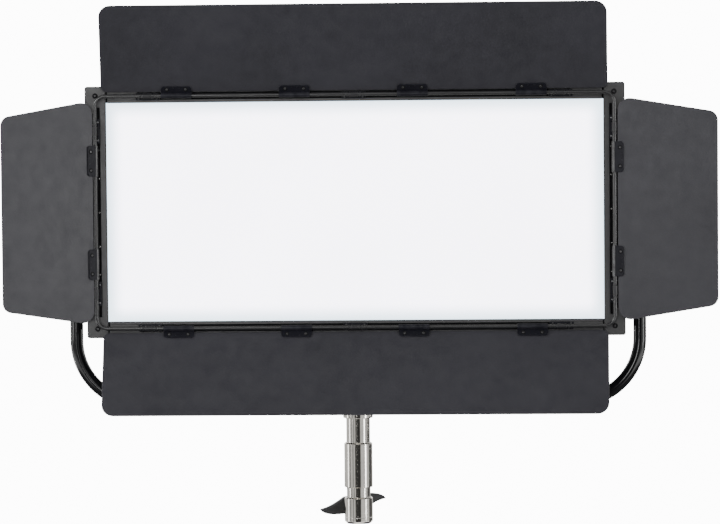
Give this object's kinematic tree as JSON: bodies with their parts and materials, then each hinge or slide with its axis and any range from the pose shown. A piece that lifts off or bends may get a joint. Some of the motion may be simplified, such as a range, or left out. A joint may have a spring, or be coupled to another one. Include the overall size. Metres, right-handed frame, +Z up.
{
  "type": "led panel light",
  "caption": "Rectangular soft LED panel head with barn doors on a wire loop, held in a U-shaped tubular yoke above a stepped stand spigot.",
  "frame": {"origin": "on the spigot's axis, at the underside of the shoulder that rests on the stand", "axes": "+Z up along the spigot, -Y the way the light shines, +X along the tilt axis to the right as seen from in front"},
  "size_m": [0.7021, 0.1786, 0.5216],
  "materials": {
    "door_paint": "fine-textured black powder coat on aluminium sheet",
    "frame_paint": "satin black powder coat on extruded aluminium",
    "housing_paint": "textured black powder coat on aluminium sheet",
    "yoke_paint": "semi-gloss black powder coat on steel tube",
    "black_steel": "black zinc plated steel",
    "spigot_steel": "turned stainless steel, polished with fine turning marks",
    "bright_steel": "zinc plated steel",
    "black_aluminium": "black anodised aluminium",
    "black_plastic": "glass-filled nylon, satin",
    "grey_plastic": "satin grey plastic",
    "red_plastic": "glossy red plastic",
    "opal_diffuser": "opal acrylic, lit from behind",
    "white_paint": "matt white paint on aluminium sheet",
    "board_green": "green solder mask on glass epoxy",
    "board_white": "white solder mask on an aluminium core",
    "supply_case": "bare folded aluminium sheet",
    "screen": "dark display window",
    "fibre_washer": "pressed fibre friction disc"
  },
  "bodies": {
    "yoke": {"yoke": "yoke_paint", "yoke_saddle": "black_aluminium", "spigot": "spigot_steel", "spigot_bolt": "bright_steel"},
    "wing": {"wing_handle": "black_plastic"},
    "head": {"cheek_left": "frame_paint", "cheek_right": "frame_paint", "rail_top": "frame_paint", "rail_bottom": "frame_paint", "diffuser": "opal_diffuser", "mixing_chamber": "white_paint", "led_board": "board_white", "housing": "housing_paint", "back_plate": "housing_paint", "power_supply": "supply_case", "driver_board": "board_green", "heatsink_left": "black_aluminium", "heatsink_right": "black_aluminium", "control_box": "housing_paint", "control_panel": "black_aluminium", "control_board": "board_green", "display": "screen", "power_inlet": "grey_plastic", "dmx_in": "black_plastic", "dmx_out": "black_plastic", "usb_port": "bright_steel", "safety_eye": "bright_steel", "pivot_boss_left": "black_aluminium", "pivot_boss_right": "black_aluminium", "friction_washer_left": "fibre_washer", "friction_washer_right": "fibre_washer", "door_frame": "black_steel"},
    "tilt_knob_left": {"tilt_knob_left": "black_plastic"},
    "tilt_knob_right": {"tilt_knob_right": "black_plastic"},
    "dimmer_knob": {"dimmer_knob": "black_plastic"},
    "colour_knob": {"colour_knob": "black_plastic"},
    "power_switch": {"power_switch": "red_plastic"},
    "button_1": {"button_1": "grey_plastic"},
    "button_2": {"button_2": "grey_plastic"},
    "button_3": {"button_3": "grey_plastic"},
    "button_4": {"button_4": "grey_plastic"},
    "top_door": {"top_leaf": "door_paint", "top_hinge_1": "black_steel", "top_hinge_2": "black_steel", "top_hinge_3": "black_steel", "top_hinge_4": "black_steel"},
    "bottom_door": {"bottom_leaf": "door_paint", "bottom_hinge_1": "black_steel", "bottom_hinge_2": "black_steel", "bottom_hinge_3": "black_steel", "bottom_hinge_4": "black_steel"},
    "left_door": {"left_leaf": "door_paint", "left_hinge_1": "black_steel", "left_hinge_2": "black_steel"},
    "right_door": {"right_leaf": "door_paint", "right_hinge_1": "black_steel", "right_hinge_2": "black_steel"}
  },
  "joints": [
    {"name": "tilt", "type": "hinge", "parent": "yoke", "child": "head", "pos_m": [0, 0, 0.21], "axis": [1, 0, 0], "range_deg": [-135, 17]},
    {"name": "wing_turn", "type": "hinge", "parent": "yoke", "child": "wing", "pos_m": [0, 0, -0.0902], "axis": [-0.2756, 0.9613, 0], "continuous": true},
    {"name": "tilt_lock_left", "type": "hinge", "parent": "head", "child": "tilt_knob_left", "pos_m": [-0.3, 0, 0.21], "axis": [-1, 0, 0], "continuous": true},
    {"name": "tilt_lock_right", "type": "hinge", "parent": "head", "child": "tilt_knob_right", "pos_m": [0.3, 0, 0.21], "axis": [1, 0, 0], "continuous": true},
    {"name": "dimmer_turn", "type": "hinge", "parent": "head", "child": "dimmer_knob", "pos_m": [0.018, 0.0609, 0.244], "axis": [0, 1, 0], "continuous": true},
    {"name": "colour_turn", "type": "hinge", "parent": "head", "child": "colour_knob", "pos_m": [0.054, 0.0609, 0.244], "axis": [0, 1, 0], "continuous": true},
    {"name": "switch_rock", "type": "hinge", "parent": "head", "child": "power_switch", "pos_m": [0.054, 0.0589, 0.202], "axis": [1, 0, 0], "range_deg": [-16, 0]},
    {"name": "top_swing", "type": "hinge", "parent": "head", "child": "top_door", "pos_m": [0, -0.0445, 0.3257], "axis": [1, 0, 0], "range_deg": [-27, 163]},
    {"name": "bottom_swing", "type": "hinge", "parent": "head", "child": "bottom_door", "pos_m": [0, -0.0445, 0.0943], "axis": [-1, 0, 0], "range_deg": [-36, 154]},
    {"name": "left_swing", "type": "hinge", "parent": "head", "child": "left_door", "pos_m": [-0.2576, -0.0445, 0.21], "axis": [0, 0, 1], "range_deg": [-42.5, 147.5]},
    {"name": "right_swing", "type": "hinge", "parent": "head", "child": "right_door", "pos_m": [0.2576, -0.0445, 0.21], "axis": [0, 0, -1], "range_deg": [-17.5, 172.5]},
    {"name": "button_1_press", "type": "slide", "parent": "head", "child": "button_1", "axis": [0, -1, 0], "range_m": [0, 0.0012], "stiffness_N_per_m": 400},
    {"name": "button_2_press", "type": "slide", "parent": "head", "child": "button_2", "axis": [0, -1, 0], "range_m": [0, 0.0012], "stiffness_N_per_m": 400},
    {"name": "button_3_press", "type": "slide", "parent": "head", "child": "button_3", "axis": [0, -1, 0], "range_m": [0, 0.0012], "stiffness_N_per_m": 400},
    {"name": "button_4_press", "type": "slide", "parent": "head", "child": "button_4", "axis": [0, -1, 0], "range_m": [0, 0.0012], "stiffness_N_per_m": 400}
  ]
}
